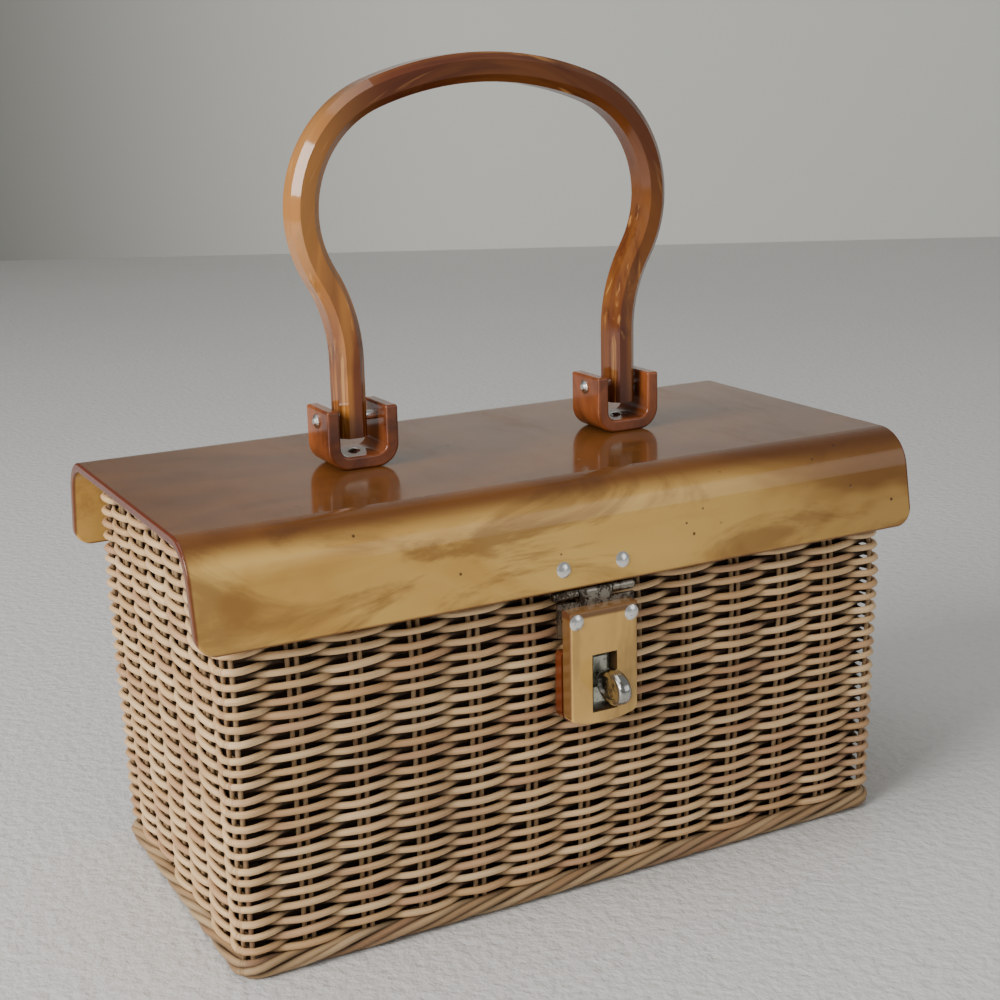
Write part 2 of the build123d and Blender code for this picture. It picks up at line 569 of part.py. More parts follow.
# The oval head stands upright in the slot, so the latch plate can swing off over it.
knob_y = -(latch_face + LATCH_THICKNESS + KNOB_STANDOFF)
washer_y = back_plate_y + LOCK_PLATE + 0.05
with BuildPart() as turn_knob:
    with BuildSketch(Plane.YZ.offset(-KNOB_THICKNESS / 2)):
        with Locations((knob_y, lock_z)):
            Ellipse(KNOB_DEPTH / 2, KNOB_WIDTH / 2)
    extrude(amount=KNOB_THICKNESS)
    fillet(turn_knob.edges(), KNOB_ROUND)
    for face_x, inward in ((-KNOB_THICKNESS / 2, 1), (KNOB_THICKNESS / 2, -1)):
        with BuildSketch(Plane.YZ.offset(face_x)):
            with Locations((knob_y, lock_z)):
                Ellipse(KNOB_DEPTH / 2 - KNOB_DISH_RIM, KNOB_WIDTH / 2 - KNOB_DISH_RIM)
        extrude(amount=inward * KNOB_DISH, mode=Mode.SUBTRACT)
    neck_root = -lock_plate_face - 0.05
    with Locations((0, neck_root, lock_z)):
        Cylinder(NECK_RADIUS, neck_root - knob_y - KNOB_DEPTH / 2 + 2.5, rotation=(90, 0, 0),
                 align=(Align.CENTER, Align.CENTER, Align.MIN))
        Cylinder(SPINDLE_RADIUS, washer_y + WASHER + 0.4 - neck_root, rotation=(90, 0, 0),
                 align=(Align.CENTER, Align.CENTER, Align.MAX))
save(turn_knob.part, "turn_knob")

with BuildPart() as knob_washer:
    with Locations((0, washer_y, lock_z)):
        Cylinder(WASHER_RADIUS, WASHER, rotation=(90, 0, 0), align=(Align.CENTER, Align.CENTER, Align.MAX))
        Cylinder(SPINDLE_RADIUS + SNUG, 3, rotation=(90, 0, 0), mode=Mode.SUBTRACT)
save(knob_washer.part, "knob_washer")

for body, name in (
    (foot_border.part, "foot_border"),
    (basket_wall.part, "basket_wall"),
    (basket_base.part, "basket_base"),
    (rim_border.part, "rim_border"),
    (lid.part, "lid"),
    (handle.part, "handle"),
):
    save(body, name)
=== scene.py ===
# %% [markdown]
# # A wicker box bag
# The bag is a woven basket under a bent plastic lid, with a hoop handle on two brackets and a latch
# plate held by a turn lock. The hard pieces come from the CAD frame and only get their finishes here.
# The basket comes from the frame as four plain solids, so this lesson weaves it strand by strand in
# their place and lines it, then dresses everything, and sets up the floor, the light and the camera.

from math import cos, pi, radians, sin, tanh

import bpy
import numpy as np
from mathutils import Matrix, Vector, noise


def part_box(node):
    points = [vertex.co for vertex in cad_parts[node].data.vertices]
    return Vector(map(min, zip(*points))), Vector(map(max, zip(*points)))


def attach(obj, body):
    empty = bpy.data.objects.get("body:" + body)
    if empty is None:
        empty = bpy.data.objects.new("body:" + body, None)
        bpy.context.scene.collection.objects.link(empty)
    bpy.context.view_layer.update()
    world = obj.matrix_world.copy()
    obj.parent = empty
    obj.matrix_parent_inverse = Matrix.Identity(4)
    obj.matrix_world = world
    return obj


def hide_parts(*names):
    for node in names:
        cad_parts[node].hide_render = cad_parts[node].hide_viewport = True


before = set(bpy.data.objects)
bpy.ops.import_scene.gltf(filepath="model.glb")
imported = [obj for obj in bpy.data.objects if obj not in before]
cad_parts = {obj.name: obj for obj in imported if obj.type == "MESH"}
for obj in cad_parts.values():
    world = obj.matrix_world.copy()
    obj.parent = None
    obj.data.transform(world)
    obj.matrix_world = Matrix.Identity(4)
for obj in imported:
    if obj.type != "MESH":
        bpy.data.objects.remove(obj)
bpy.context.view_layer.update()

# %% [markdown]
# ## Measuring the basket
# The real basket is an open box of upright stakes with thin strands woven round them. Its sizes are
# read off the CAD solids, so that the weave fills exactly their space: the wall gives the outer face
# at three heights, the two borders give the top and the bottom ring. Only the wall's thickness and the
# radius of its upright corners are typed in, because no box of a solid tells them.

# %% Sizes of the basket
MM = 0.001
wall_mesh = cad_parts["basket_wall"].data
wall_points = np.array([v.co for v in wall_mesh.vertices])
foot_low, foot_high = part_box("foot_border")
rim_low, rim_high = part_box("rim_border")
base_low, base_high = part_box("basket_base")
wall_low, wall_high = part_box("basket_wall")
WALL = 5.7 * MM
CORNER = 6.5 * MM


def outline_at(z):
    """Half length, front face and back face of the wall solid at the ring of points nearest a height."""
    heights = np.unique(np.round(wall_points[:, 2], 5))
    nearest = heights[np.argmin(abs(heights - z))]
    ring = wall_points[abs(wall_points[:, 2] - nearest) < 1e-5]
    return np.array([nearest, ring[:, 0].max(), ring[:, 1].min(), ring[:, 1].max()])


waist_height = wall_points[np.argmin(wall_points[:, 1]), 2]
stations = np.array([outline_at(z) for z in (wall_low.z, waist_height, wall_high.z)])
print("wall stations in mm", np.round(stations / MM, 1).tolist())


def wall_size(z):
    """The wall's half length, front and back at any height, straight between the stations."""
    return [float(np.interp(z, stations[:, 0], stations[:, column])) for column in (1, 2, 3)]


# %% [markdown]
# ## Walking round the basket
# A strand follows the wall's middle surface, a rounded rectangle. Every strand and stake is placed by
# one number u that counts stake pairs: 0 at the front left corner, 12 at the front right one, 18 and 30
# at the back corners, and 36 back at the start. The function below turns u into a point and the
# direction that faces outwards. Doing it with one number keeps the stakes of all heights in line.

# %% A point on the basket's outline
STAKE_PAIRS = 36
corner_turns = (0, 12, 18, 30, 36)


def round_outline(u, size, inset):
    """Points and outward directions at u on a rounded rectangle drawn in by inset, as two arrays."""
    half, front, back = size
    corner = CORNER - inset
    width, depth = 2 * (half - inset), back - front - 2 * inset
    arc = corner * pi / 2
    points = np.zeros((len(u), 2))
    outward = np.zeros((len(u), 2))
    sides = (
        (0, width, (-half + inset, front + inset), (1, 0)),
        (1, depth, (half - inset, front + inset), (0, 1)),
        (2, width, (half - inset, back - inset), (-1, 0)),
        (3, depth, (-half + inset, back - inset), (0, -1)),
    )
    for index, length, start, along in sides:
        first, last = corner_turns[index], corner_turns[index + 1]
        here = (u >= first) & (u < last)
        straight = length - 2 * corner
        travel = (u[here] - first) / (last - first) * (straight + arc)
        along, start = np.array(along), np.array(start)
        out = np.array((along[1], -along[0]))
        turn = np.where(travel < arc / 2, travel / corner - pi / 4, 0.0)
        turn = np.where(travel > arc / 2 + straight, (travel - arc / 2 - straight) / corner, turn)
        run = np.clip(travel - arc / 2, 0, straight) + corner
        face = out[None, :] * np.cos(turn)[:, None] + along[None, :] * np.sin(turn)[:, None]
        centre = start + along * run[:, None] - out * corner
        points[here] = centre + face * corner
        outward[here] = face
    return points, outward


test_points, _ = round_outline(np.array([0.0, 6.0, 12.0, 24.0]), wall_size(0.05), WALL / 2)
print("corner, front middle, corner, back middle in mm", np.round(test_points / MM, 1).tolist())

# %% [markdown]
# ## Turning lines into strands
# A strand is a round willow skein a little over 2 mm thick. It could be a swept tube built by hand, but
# a curve with a round bevel does the same in one step: its points carry a radius each, so a strand can
# swell and thin. The curve is converted to a mesh, and each vertex keeps three facts for the finish:
# how far along the strand it is, which way round it faces, and a chance number for its own strand.

# %% A bundle of strands from a list of lines
STRAND_SIDES = 8
SHADE_START = 0.9 * MM
SHADE_DEPTH = 1.3 * MM


def clear_selection():
    """Nothing selected and nothing active, so that the next operator acts on its own object only."""
    bpy.ops.object.select_all(action="DESELECT")
    bpy.context.view_layer.objects.active = None


def strand_bundle(name, lines, closed, seed, tall=1.0):
    """One mesh of strands, as round as the bevel or tall times as high. Each line is (points, radii)."""
    clear_selection()
    bpy.ops.curve.primitive_nurbs_path_add()
    bundle = bpy.context.object
    bundle.name = name
    curve = bundle.data
    curve.splines.clear()
    for points, radii in lines:
        spline = curve.splines.new("POLY")
        spline.points.add(len(points) - 1)
        spline.points.foreach_set("co", np.column_stack([points, np.ones(len(points))]).ravel())
        spline.points.foreach_set("radius", np.asarray(radii, float))
        spline.use_cyclic_u = closed
        spline.use_smooth = True
    curve.dimensions = "3D"
    curve.twist_mode = "MINIMUM"
    curve.bevel_depth = 1.0
    curve.bevel_resolution = (STRAND_SIDES - 4) // 2
    curve.use_fill_caps = not closed
    bpy.ops.object.convert(target="MESH")
    mesh = bpy.context.object.data
    if tall != 1.0:
        heights = np.repeat(np.concatenate([points[:, 2] for points, _ in lines]), STRAND_SIDES)
        places = vertex_places(bundle)
        places[:, 2] = heights + (places[:, 2] - heights) * tall
        mesh.vertices.foreach_set("co", places.ravel())
    facts = strand_facts(lines, len(mesh.vertices), seed)
    mesh.attributes.new("strand", "FLOAT_VECTOR", "POINT").data.foreach_set("vector", facts.ravel())
    bpy.ops.object.mode_set(mode="EDIT")
    bpy.ops.mesh.select_all(action="SELECT")
    bpy.ops.mesh.remove_doubles(threshold=1e-6)
    bpy.ops.mesh.normals_make_consistent(inside=False)
    bpy.ops.object.mode_set(mode="OBJECT")
    bpy.ops.object.shade_smooth()
    print(name, len(lines), "strands,", len(mesh.polygons), "faces")
    return bundle


def strand_facts(lines, vertex_count, seed):
    """For every vertex of a bundle: metres along, angle round, and the strand's chance number."""
    chance = np.random.default_rng(seed)
    rows = []
    for points, _ in lines:
        steps = np.linalg.norm(np.diff(points, axis=0), axis=1)
        run = np.concatenate([[0], np.cumsum(steps)]) + chance.uniform(0, 5)
        rows.append(np.column_stack([
            np.repeat(run, STRAND_SIDES),
            np.tile(np.arange(STRAND_SIDES) * 2 * pi / STRAND_SIDES, len(points)),
            np.full(len(points) * STRAND_SIDES, chance.uniform(0, 1)),
        ]))
    facts = np.vstack(rows)
    spare = max(vertex_count - len(facts), 0)
    return np.vstack([facts, np.repeat(facts[-1:], spare, axis=0)])[:vertex_count]


def paint_wall_shade(piece, inner_share):
    """Paints shade on what lies in the middle of the wall. The inner face is cleared of it by inner_share
    only.
    """
    depth = from_surface(vertex_places(piece), WALL / 2, wall_size)
    outside = np.clip(depth / SHADE_DEPTH, 0, 1)
    inside = np.clip((-depth - SHADE_START) / SHADE_DEPTH, 0, 1) * inner_share
    paint_weave_shade(piece, np.maximum(outside, inside), 0, 1)


def paint_weave_shade(piece, depth, low, high):
    """Marks how much painted shade each vertex gets for lying deep in the weave: 1 at a depth value of low or
    less, 0 from high up.
    """
    weave_shade = 1 - np.clip((depth - low) / (high - low), 0, 1)
    piece.data.attributes.new("weave_shade", "FLOAT", "POINT").data.foreach_set("value", weave_shade.astype(np.float32))


def vertex_places(piece):
    """All vertices of a piece as an array."""
    places = np.zeros(len(piece.data.vertices) * 3, np.float32)
    piece.data.vertices.foreach_get("co", places)
    return places.reshape(-1, 3)


def from_surface(places, inset, size_at):
    """Signed distance outwards from a rounded rectangle drawn in by inset, for each place."""
    size = np.array([size_at(z) for z in places[:, 2]])
    half = size[:, 0] - inset
    half_deep = (size[:, 2] - size[:, 1]) / 2 - inset
    middle = (size[:, 1] + size[:, 2]) / 2
    corner = CORNER - inset
    over_x = abs(places[:, 0]) - half + corner
    over_y = abs(places[:, 1] - middle) - half_deep + corner
    outside = np.hypot(np.maximum(over_x, 0), np.maximum(over_y, 0))
    return outside + np.minimum(np.maximum(over_x, over_y), 0) - corner


def drift(u, seed, stretch):
    """A smooth wander near -1 to 1 that closes on itself round the basket, quicker for more stretch."""
    angle = u / STAKE_PAIRS * 2 * pi
    reach = STAKE_PAIRS * stretch / (2 * pi)
    return np.array([noise.noise(Vector((reach * cos(a), reach * sin(a), seed * 7.3))) for a in angle]) * 1.6


# %% [markdown]
# ## The woven wall
# The wall is a plain weave: every strand passes in front of one pair of stakes and behind the next, and
# the strand above does the opposite. The swing in and out is a cosine, squared off a little with tanh, so
# that a strand lies against the stakes and sweeps from one side to the other between them. Hand work is
# never even, so each strand wanders a little up and down and changes thickness. The rows go into four
# bands, to keep each mesh light.

# %% Weave the wall
STRAND_RADIUS = 1.05 * MM
STRAND_TALL = 1.06
SQUARENESS = 0.8
SWING = WALL / 2 - STRAND_RADIUS
ROWS = 54
BANDS = 4
STEPS_PER_PAIR = 10
ROW_WANDER = 0.40 * MM
ROW_RIPPLE = 0.14 * MM
SIDE_WANDER = 0.12 * MM
row_low = wall_low.z + STRAND_RADIUS
row_high = wall_high.z - STRAND_RADIUS


def woven_row(row):
    """The line of one row of the wall and its radii."""
    z = row_low + (row_high - row_low) * row / (ROWS - 1)
    u = np.arange(STAKE_PAIRS * STEPS_PER_PAIR) / STEPS_PER_PAIR
    side = 1 if row % 2 else -1
    swing = SWING * np.tanh(SQUARENESS * side * np.cos(pi * u)) / tanh(SQUARENESS)
    points, outward = round_outline(u, wall_size(z), WALL / 2)
    place = points + outward * (swing + SIDE_WANDER * drift(u, row + 200, 1.0))[:, None]
    height = z + ROW_WANDER * drift(u, row, 0.8) + ROW_RIPPLE * drift(u, row + 400, 2.4)
    radii = STRAND_RADIUS * (0.97 + 0.10 * drift(u, row + 600, 0.5) + 0.05 * drift(u, row + 800, 2.0))
    return np.column_stack([place, height]), radii


band_rows = np.array_split(np.arange(ROWS), BANDS)
wall_bands = [
    strand_bundle(f"woven_wall_{number}", [woven_row(row) for row in rows], True, number, STRAND_TALL)
    for number, rows in enumerate(band_rows, 1)
]
# Painted shade: the strands darken where they pass through the middle of the wall.
for band in wall_bands:
    paint_wall_shade(band, 0.62)

# %% [markdown]
# ## The stakes
# Thin upright stakes stand in pairs between the front and back passes of the strands. They show as
# small light beads in the dark gaps. Each follows the wall's middle surface and leans a little here and
# there, as cut willow does.

# %% Stand the stakes
STAKE_RADIUS = 0.72 * MM
STAKE_SPREAD = 1.3 * MM
STAKE_LEAN = 0.25 * MM
STAKE_END = 2 * MM
stake_low = foot_low.z + STAKE_END
stake_high = rim_high.z - STAKE_END


def stake(pair, side):
    """One stake of a pair, from inside the foot border up into the rim border."""
    heights = np.linspace(stake_low, stake_high, 16)
    points = []
    for z in heights:
        place, outward = round_outline(np.array([float(pair)]), wall_size(z), WALL / 2)
        along = np.array((-outward[0][1], outward[0][0]))
        lean = STAKE_LEAN * noise.noise(Vector((pair * 3.1, side * 5.7, z * 30)))
        points.append((*(place[0] + along * (side * STAKE_SPREAD + lean)), z))
    return np.array(points), np.full(len(heights), STAKE_RADIUS)


stakes = strand_bundle(
    "stakes", [stake(pair, side) for pair in range(STAKE_PAIRS) for side in (-1, 1)], False, 11
)
# Painted shade: every stake is darkened by the same share, as it stands in the gaps of the weave.
paint_weave_shade(stakes, np.full(len(stakes.data.vertices), 0.42), 0, 1)

# %% [markdown]
# ## The borders
# The foot and the rim are finished with a rope of strands that lie round each other in long turns. Five
# strands run as a loose helix round one guide ring, inside the round that the CAD border gives them.

# %% Lay the two borders
BORDER_STRANDS = 5
BORDER_STRAND_RADIUS = 1.2 * MM
BORDER_TURNS = 11
FOOT_INSET = 2.1 * MM
FOOT_HALF_WIDTH = 1.5 * MM


def border(name, size, guide_inset, guide_z, half_width, half_height, seed):
    """A rope of strands round the basket, its guide ring drawn in from the given outline."""
    u = np.arange(STAKE_PAIRS * STEPS_PER_PAIR) / STEPS_PER_PAIR
    points, outward = round_outline(u, size, guide_inset)
    lines = []
    for strand in range(BORDER_STRANDS):
        turn = 2 * pi * (strand / BORDER_STRANDS + BORDER_TURNS * u / STAKE_PAIRS)
        turn = turn + 0.35 * drift(u, seed + strand, 0.6)
        place = points + outward * (half_width * np.cos(turn))[:, None]
        radii = BORDER_STRAND_RADIUS * (1 + 0.08 * drift(u, seed + strand + 50, 0.7))
        lines.append((np.column_stack([place, guide_z + half_height * np.sin(turn)]), radii))
    rope = strand_bundle(name, lines, True, seed)
    places = vertex_places(rope)
    sideways = from_surface(places, guide_inset, lambda z: size) / (half_width + BORDER_STRAND_RADIUS)
    upwards = (places[:, 2] - guide_z) / (half_height + BORDER_STRAND_RADIUS)
    # Painted shade: the sides of the strands that face into the core of the rope are darkened.
    paint_weave_shade(rope, np.hypot(sideways, upwards), 0.55, 1.35)
    return rope


foot_middle = (foot_low.z + foot_high.z) / 2
foot_half_height = (foot_high.z - foot_low.z) / 2 - 1.05 * BORDER_STRAND_RADIUS
foot_rope = border(
    "foot_rope", wall_size(wall_low.z), FOOT_INSET, foot_middle, FOOT_HALF_WIDTH, foot_half_height, 21
)
rim_middle = (rim_low.z + rim_high.z) / 2
rim_half = (rim_high.z - rim_low.z) / 2 - BORDER_STRAND_RADIUS
rim_rope = border("rim_rope", wall_size(wall_high.z), WALL / 2, rim_middle, rim_half, rim_half, 31)

# %% [markdown]
# ## The woven base
# The base is woven like the wall, but flat: strands run along the bag and pass over and under pairs of
# cross stakes. It shows inside the open bag, so it is real geometry too.

# %% Weave the base
BASE_ROW_PITCH = 2.12 * MM
BASE_STRAND_RADIUS = 1.02 * MM
BASE_SWING = 0.95 * MM
BASE_RIPPLE = 0.3 * MM
BASE_MARGIN = 0.8 * MM
CROSS_PITCH = 19 * MM
CROSS_RADIUS = 0.6 * MM
CROSS_SPREAD = 1.2 * MM
base_middle = (base_low.z + base_high.z) / 2
base_half_length = base_high.x - BASE_MARGIN


def base_row(index, y):
    """One strand along the base, over and under the cross stakes."""
    x = np.linspace(-base_half_length, base_half_length, 96)
    side = 1 if index % 2 else -1
    lift = BASE_SWING * np.tanh(1.5 * side * np.cos(pi * x / CROSS_PITCH)) / tanh(1.5)
    ripple = np.array([noise.noise(Vector((value * 25, index * 3.7, 0.5))) for value in x])
    points = np.column_stack([x, y + BASE_RIPPLE * ripple, base_middle + lift])
    return points, np.full(len(x), BASE_STRAND_RADIUS)


def cross_stake(x):
    """One cross stake through the middle of the base."""
    y = np.linspace(base_low.y + BASE_MARGIN, base_high.y - BASE_MARGIN, 12)
    points = np.column_stack([np.full(len(y), x), y, np.full(len(y), base_middle)])
    return points, np.full(len(y), CROSS_RADIUS)


base_rows_y = np.arange(base_low.y + 1.2 * MM, base_high.y - 1.0 * MM, BASE_ROW_PITCH)
base_lines = [base_row(index, y) for index, y in enumerate(base_rows_y)]
crossings = np.arange(-5, 6) * CROSS_PITCH
base_lines += [cross_stake(x + offset) for x in crossings for offset in (-CROSS_SPREAD, CROSS_SPREAD)]
woven_base = strand_bundle("woven_base", base_lines, False, 41)
# Painted shade: the strands darken where they lie near the middle of the base, between the crossings.
paint_weave_shade(woven_base, abs(vertex_places(woven_base)[:, 2] - base_middle), 0.5 * MM, 1.6 * MM)

# %% [markdown]
# ## The lining
# No light shows through the gaps of the real basket. Here a near-black cloth box inside the weave blocks
# the light, and its dark colour is painted shade for the gaps. It starts as a plane just above the base
# and is extruded up to the wall's waist and to its top, and the open top loses its face. Then the corners
# are rounded and a modifier gives the thickness.

# %% Sew the lining
LINING = 0.4 * MM
LINING_GAP = 0.35 * MM
LINING_CORNER = 0.7 * MM
lining_stations = [base_high.z + LINING, waist_height, wall_high.z]


def lining_extent(z):
    """Centre y, length and depth of the lining at a height."""
    half, front, back = wall_size(z)
    draw_in = WALL + LINING_GAP
    return (front + back) / 2, 2 * (half - draw_in), back - front - 2 * draw_in


centre_y, length, depth = lining_extent(lining_stations[0])
clear_selection()
bpy.ops.mesh.primitive_plane_add(size=1, location=(0, centre_y, lining_stations[0]))
lining = bpy.context.object
lining.name = "dark_lining"
lining.scale = (length, depth, 1)
bpy.ops.object.transform_apply(location=True, scale=True)
bpy.ops.object.mode_set(mode="EDIT")
bpy.ops.mesh.select_all(action="SELECT")
for lower, upper in zip(lining_stations, lining_stations[1:]):
    next_y, next_length, next_depth = lining_extent(upper)
    bpy.ops.mesh.extrude_region_move(TRANSFORM_OT_translate={"value": (0, next_y - centre_y, upper - lower)})
    bpy.ops.transform.resize(
        value=(next_length / length, next_depth / depth, 1), center_override=(0, next_y, upper)
    )
    centre_y, length, depth = next_y, next_length, next_depth
bpy.ops.mesh.delete(type="ONLY_FACE")
bpy.ops.object.mode_set(mode="OBJECT")
print("lining", len(lining.data.vertices), "points,", len(lining.data.polygons), "panels")

# %% Turn the lining's faces outwards, round its corners and thicken it
bpy.ops.object.mode_set(mode="EDIT")
bpy.ops.mesh.select_all(action="SELECT")
bpy.ops.mesh.normals_make_consistent(inside=False)
bpy.ops.object.mode_set(mode="OBJECT")
rounding = lining.modifiers.new("rounded_corners", "BEVEL")
rounding.width = LINING_CORNER
rounding.segments = 3
rounding.limit_method = "ANGLE"
rounding.angle_limit = radians(60)
bpy.ops.object.modifier_apply(modifier=rounding.name)
cloth = lining.modifiers.new("cloth_thickness", "SOLIDIFY")
cloth.thickness = LINING
cloth.offset = -1
bpy.ops.object.modifier_apply(modifier=cloth.name)
bpy.ops.object.shade_smooth_by_angle(angle=radians(35))
print("lining", len(lining.data.polygons), "faces after thickening")

# %% [markdown]
# ## Telling the frame what the strands are
# All strands and the lining ride on the basket body. Together the strands stand for the four plain
# solids, which are then not shown. The lining stands for none, because it is extra.

# %% The basket is ready
willow_pieces = [*wall_bands, stakes, foot_rope, rim_rope, woven_base]
for piece in [*willow_pieces, lining]:
    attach(piece, "basket")
for band in wall_bands:
    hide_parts("basket_wall")
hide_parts("basket_wall")
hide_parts("foot_border")
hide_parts("rim_border")
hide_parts("basket_base")
print(len(willow_pieces), "willow pieces and the lining ride on the basket")

# %% [markdown]
# ## A shorthand for shader nodes
# Materials are node trees, which are long to write. One small class wraps a socket, so that shader
# maths reads like ordinary maths, and one method adds any other node by its type.


# %% Sockets that can be added and multiplied
class Value:
    """A shader socket that takes part in Python expressions."""

    def __init__(self, finish, socket):
        self.finish = finish
        self.socket = socket

    def _math(self, operation, first, second=0.0):
        return self.finish.node("ShaderNodeMath", {"operation": operation}, {0: first, 1: second})

    def __add__(self, other):
        return self._math("ADD", self, other)

    def __sub__(self, other):
        return self._math("SUBTRACT", self, other)

    def __mul__(self, other):
        return self._math("MULTIPLY", self, other)

    def __rsub__(self, other):
        return self._math("SUBTRACT", other, self)

    def __pow__(self, other):
        return self._math("POWER", self, other)

    __radd__ = __add__
    __rmul__ = __mul__

    def __abs__(self):
        return self._math("ABSOLUTE", self)

    def between(self, low, high):
        """0 at low, 1 at high and smooth in the middle. It falls where low is the larger number."""
        settings = {"interpolation_type": "SMOOTHSTEP"}
        values = {"Value": self, "From Min": low, "From Max": high}
        return self.finish.node("ShaderNodeMapRange", settings, values)


class Finish:
    """One material, with its surface shader ready and short ways to feed it."""

    def __init__(self, name, **surface):
        self.material = bpy.data.materials.new(name)
        self.material.use_nodes = True
        self.tree = self.material.node_tree
        self.surface = self.tree.nodes["Principled BSDF"]
        for socket, value in surface.items():
            self.surface.inputs[socket.replace("_", " ").title().replace("Ior", "IOR")].default_value = value

    def feed(self, socket, value):
        """A value or a link into one socket."""
        if isinstance(value, Value):
            self.tree.links.new(value.socket, socket)
        else:
            socket.default_value = value

    def node(self, kind, settings=None, values=None, output=0):
        """Any node: its settings first, then its sockets."""
        made = self.tree.nodes.new(kind)
        for key, setting in (settings or {}).items():
            setattr(made, key, setting)
        for key, value in (values or {}).items():
            self.feed(made.inputs[key], value)
        return Value(self, made.outputs[output])

    def place(self, scale=(1, 1, 1), turn=(0, 0, 0)):
        """Object coordinates in metres, turned and then stretched."""
        source = self.node("ShaderNodeTexCoord", output=3)
        return self.node("ShaderNodeMapping", None, {"Vector": source, "Scale": scale, "Rotation": turn})

    def parts(self, vector):
        """The three numbers of a vector, each as a value."""
        first = self.node("ShaderNodeSeparateXYZ", None, {0: vector})
        return [Value(self, output) for output in first.socket.node.outputs]

    def cloud(self, where, scale, detail=3.0, roughness=0.5, distortion=0.0):
        """Soft noise between 0 and 1."""
        values = {"Vector": where, "Scale": scale, "Detail": detail, "Roughness": roughness}
        values["Distortion"] = distortion
        return self.node("ShaderNodeTexNoise", None, values)

    def blend(self, amount, first, second):
        """A mix of two colours."""
        tints = [tint if isinstance(tint, Value) else (*tint, 1.0) for tint in (first, second)]
        values = {0: amount, 6: tints[0], 7: tints[1]}
        return self.node("ShaderNodeMix", {"data_type": "RGBA"}, values, output=2)

    def colour(self, value):
        self.feed(self.surface.inputs["Base Color"], value)

    def roughness(self, value):
        self.feed(self.surface.inputs["Roughness"], value)

    def relief(self, height, depth):
        """Bump of a given depth in metres."""
        bump = self.node("ShaderNodeBump", None, {"Height": height, "Distance": depth, "Strength": 1.0})
        self.feed(self.surface.inputs["Normal"], bump)


def dress(finish, *names):
    """Gives the finish to CAD nodes, in the slot that they already have."""
    for name in names:
        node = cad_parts[name]
        node.data.materials.clear()
        node.data.materials.append(finish.material)
    print(finish.material.name, "on", len(names), "nodes")


# %% [markdown]
# ## Wicker
# Peeled willow is pale honey with a pinkish brown cast, streaked along its fibres and dirty in random
# patches, with painted shade where it runs deep into the weave. The streaks must follow each strand
# round its bends, so they read the strand facts kept in the mesh. The painted shade follows how deep in
# the weave a point lies, which is the value that each piece was given when it was woven.

# %% Finish for the strands


def wicker_finish():
    finish = Finish("peeled_willow", roughness=0.55, specular_ior_level=0.28)
    facts = finish.node("ShaderNodeAttribute", {"attribute_name": "strand"}, output=1)
    run, turn, chance = finish.parts(facts)
    turn_x = finish.node("ShaderNodeMath", {"operation": "COSINE"}, {0: turn})
    turn_y = finish.node("ShaderNodeMath", {"operation": "SINE"}, {0: turn})
    fibre_axes = {0: run * 30.0, 1: turn_x * 1.4, 2: turn_y * 1.4 + chance * 40.0}
    fibre_place = finish.node("ShaderNodeCombineXYZ", None, fibre_axes)
    fibres = finish.cloud(fibre_place, 1.6, 4.0, 0.6)
    patch_place = finish.node("ShaderNodeCombineXYZ", None, {0: run * 14.0, 1: chance * 60.0})
    patches = finish.cloud(patch_place, 1.0, 2.0)
    grime = finish.cloud(finish.place(), 28.0, 4.0, 0.6)
    pale = finish.blend(chance, (0.80, 0.535, 0.28), (0.60, 0.365, 0.165))
    pink = finish.blend(patches.between(0.45, 0.70) * 0.7, pale, (0.46, 0.25, 0.15))
    streaked = finish.blend(fibres.between(0.5, 0.72) * 0.5, pink, (0.36, 0.19, 0.09))
    worn = finish.blend(patches.between(0.55, 0.30) * 0.4, streaked, (0.92, 0.69, 0.42))
    soiled = finish.blend(grime.between(0.52, 0.75) * 0.35, worn, (0.25, 0.14, 0.08))
    # Painted shade: deep in the weave the strands go nearly black.
    weave_shade = finish.node("ShaderNodeAttribute", {"attribute_name": "weave_shade"}, output=2)
    finish.colour(finish.blend(weave_shade * 0.96, soiled, (0.022, 0.010, 0.006)))
    finish.roughness(fibres * 0.25 + 0.38)
    finish.relief(fibres, 0.00025)
    return finish


willow = wicker_finish()
for piece in willow_pieces:
    piece.data.materials.clear()
    piece.data.materials.append(willow.material)

# %% [markdown]
# ## Lining cloth
# A near-black brown cotton, matt, with a fine even weave that two crossed waves raise. Its dark colour is
# painted shade for the gaps of the weave.

# %% Finish for the lining
lining_finish = Finish("dark_cotton", roughness=0.9, specular_ior_level=0.2)
cloth_tone = lining_finish.cloud(lining_finish.place(), 45.0, 4.0, 0.6)
# Painted shade: the cloth is kept near black so that the gaps of the weave read dark.
lining_finish.colour(lining_finish.blend(cloth_tone, (0.030, 0.018, 0.012), (0.055, 0.034, 0.022)))
threads_across = lining_finish.node(
    "ShaderNodeTexWave", {"bands_direction": "Z"}, {"Vector": lining_finish.place(), "Scale": 400.0}
)
threads_up = lining_finish.node(
    "ShaderNodeTexWave", {"bands_direction": "DIAGONAL"}, {"Vector": lining_finish.place(), "Scale": 400.0}
)
lining_finish.relief(threads_across * threads_up, 0.0002)
lining.data.materials.append(lining_finish.material)

# %% [markdown]
# ## Marbled plastic
# The lid, the handle and the small pieces are cast plastic in the manner of tortoiseshell: amber with
# brown clouds drawn out in one direction, a clear gloss over it, and small pits. One function makes it
# for the small pieces, from three colours that go from light to dark. The lid and the handle have
# regions of their own, so each gets its own function further down.

# %% Finish for the small plastic pieces


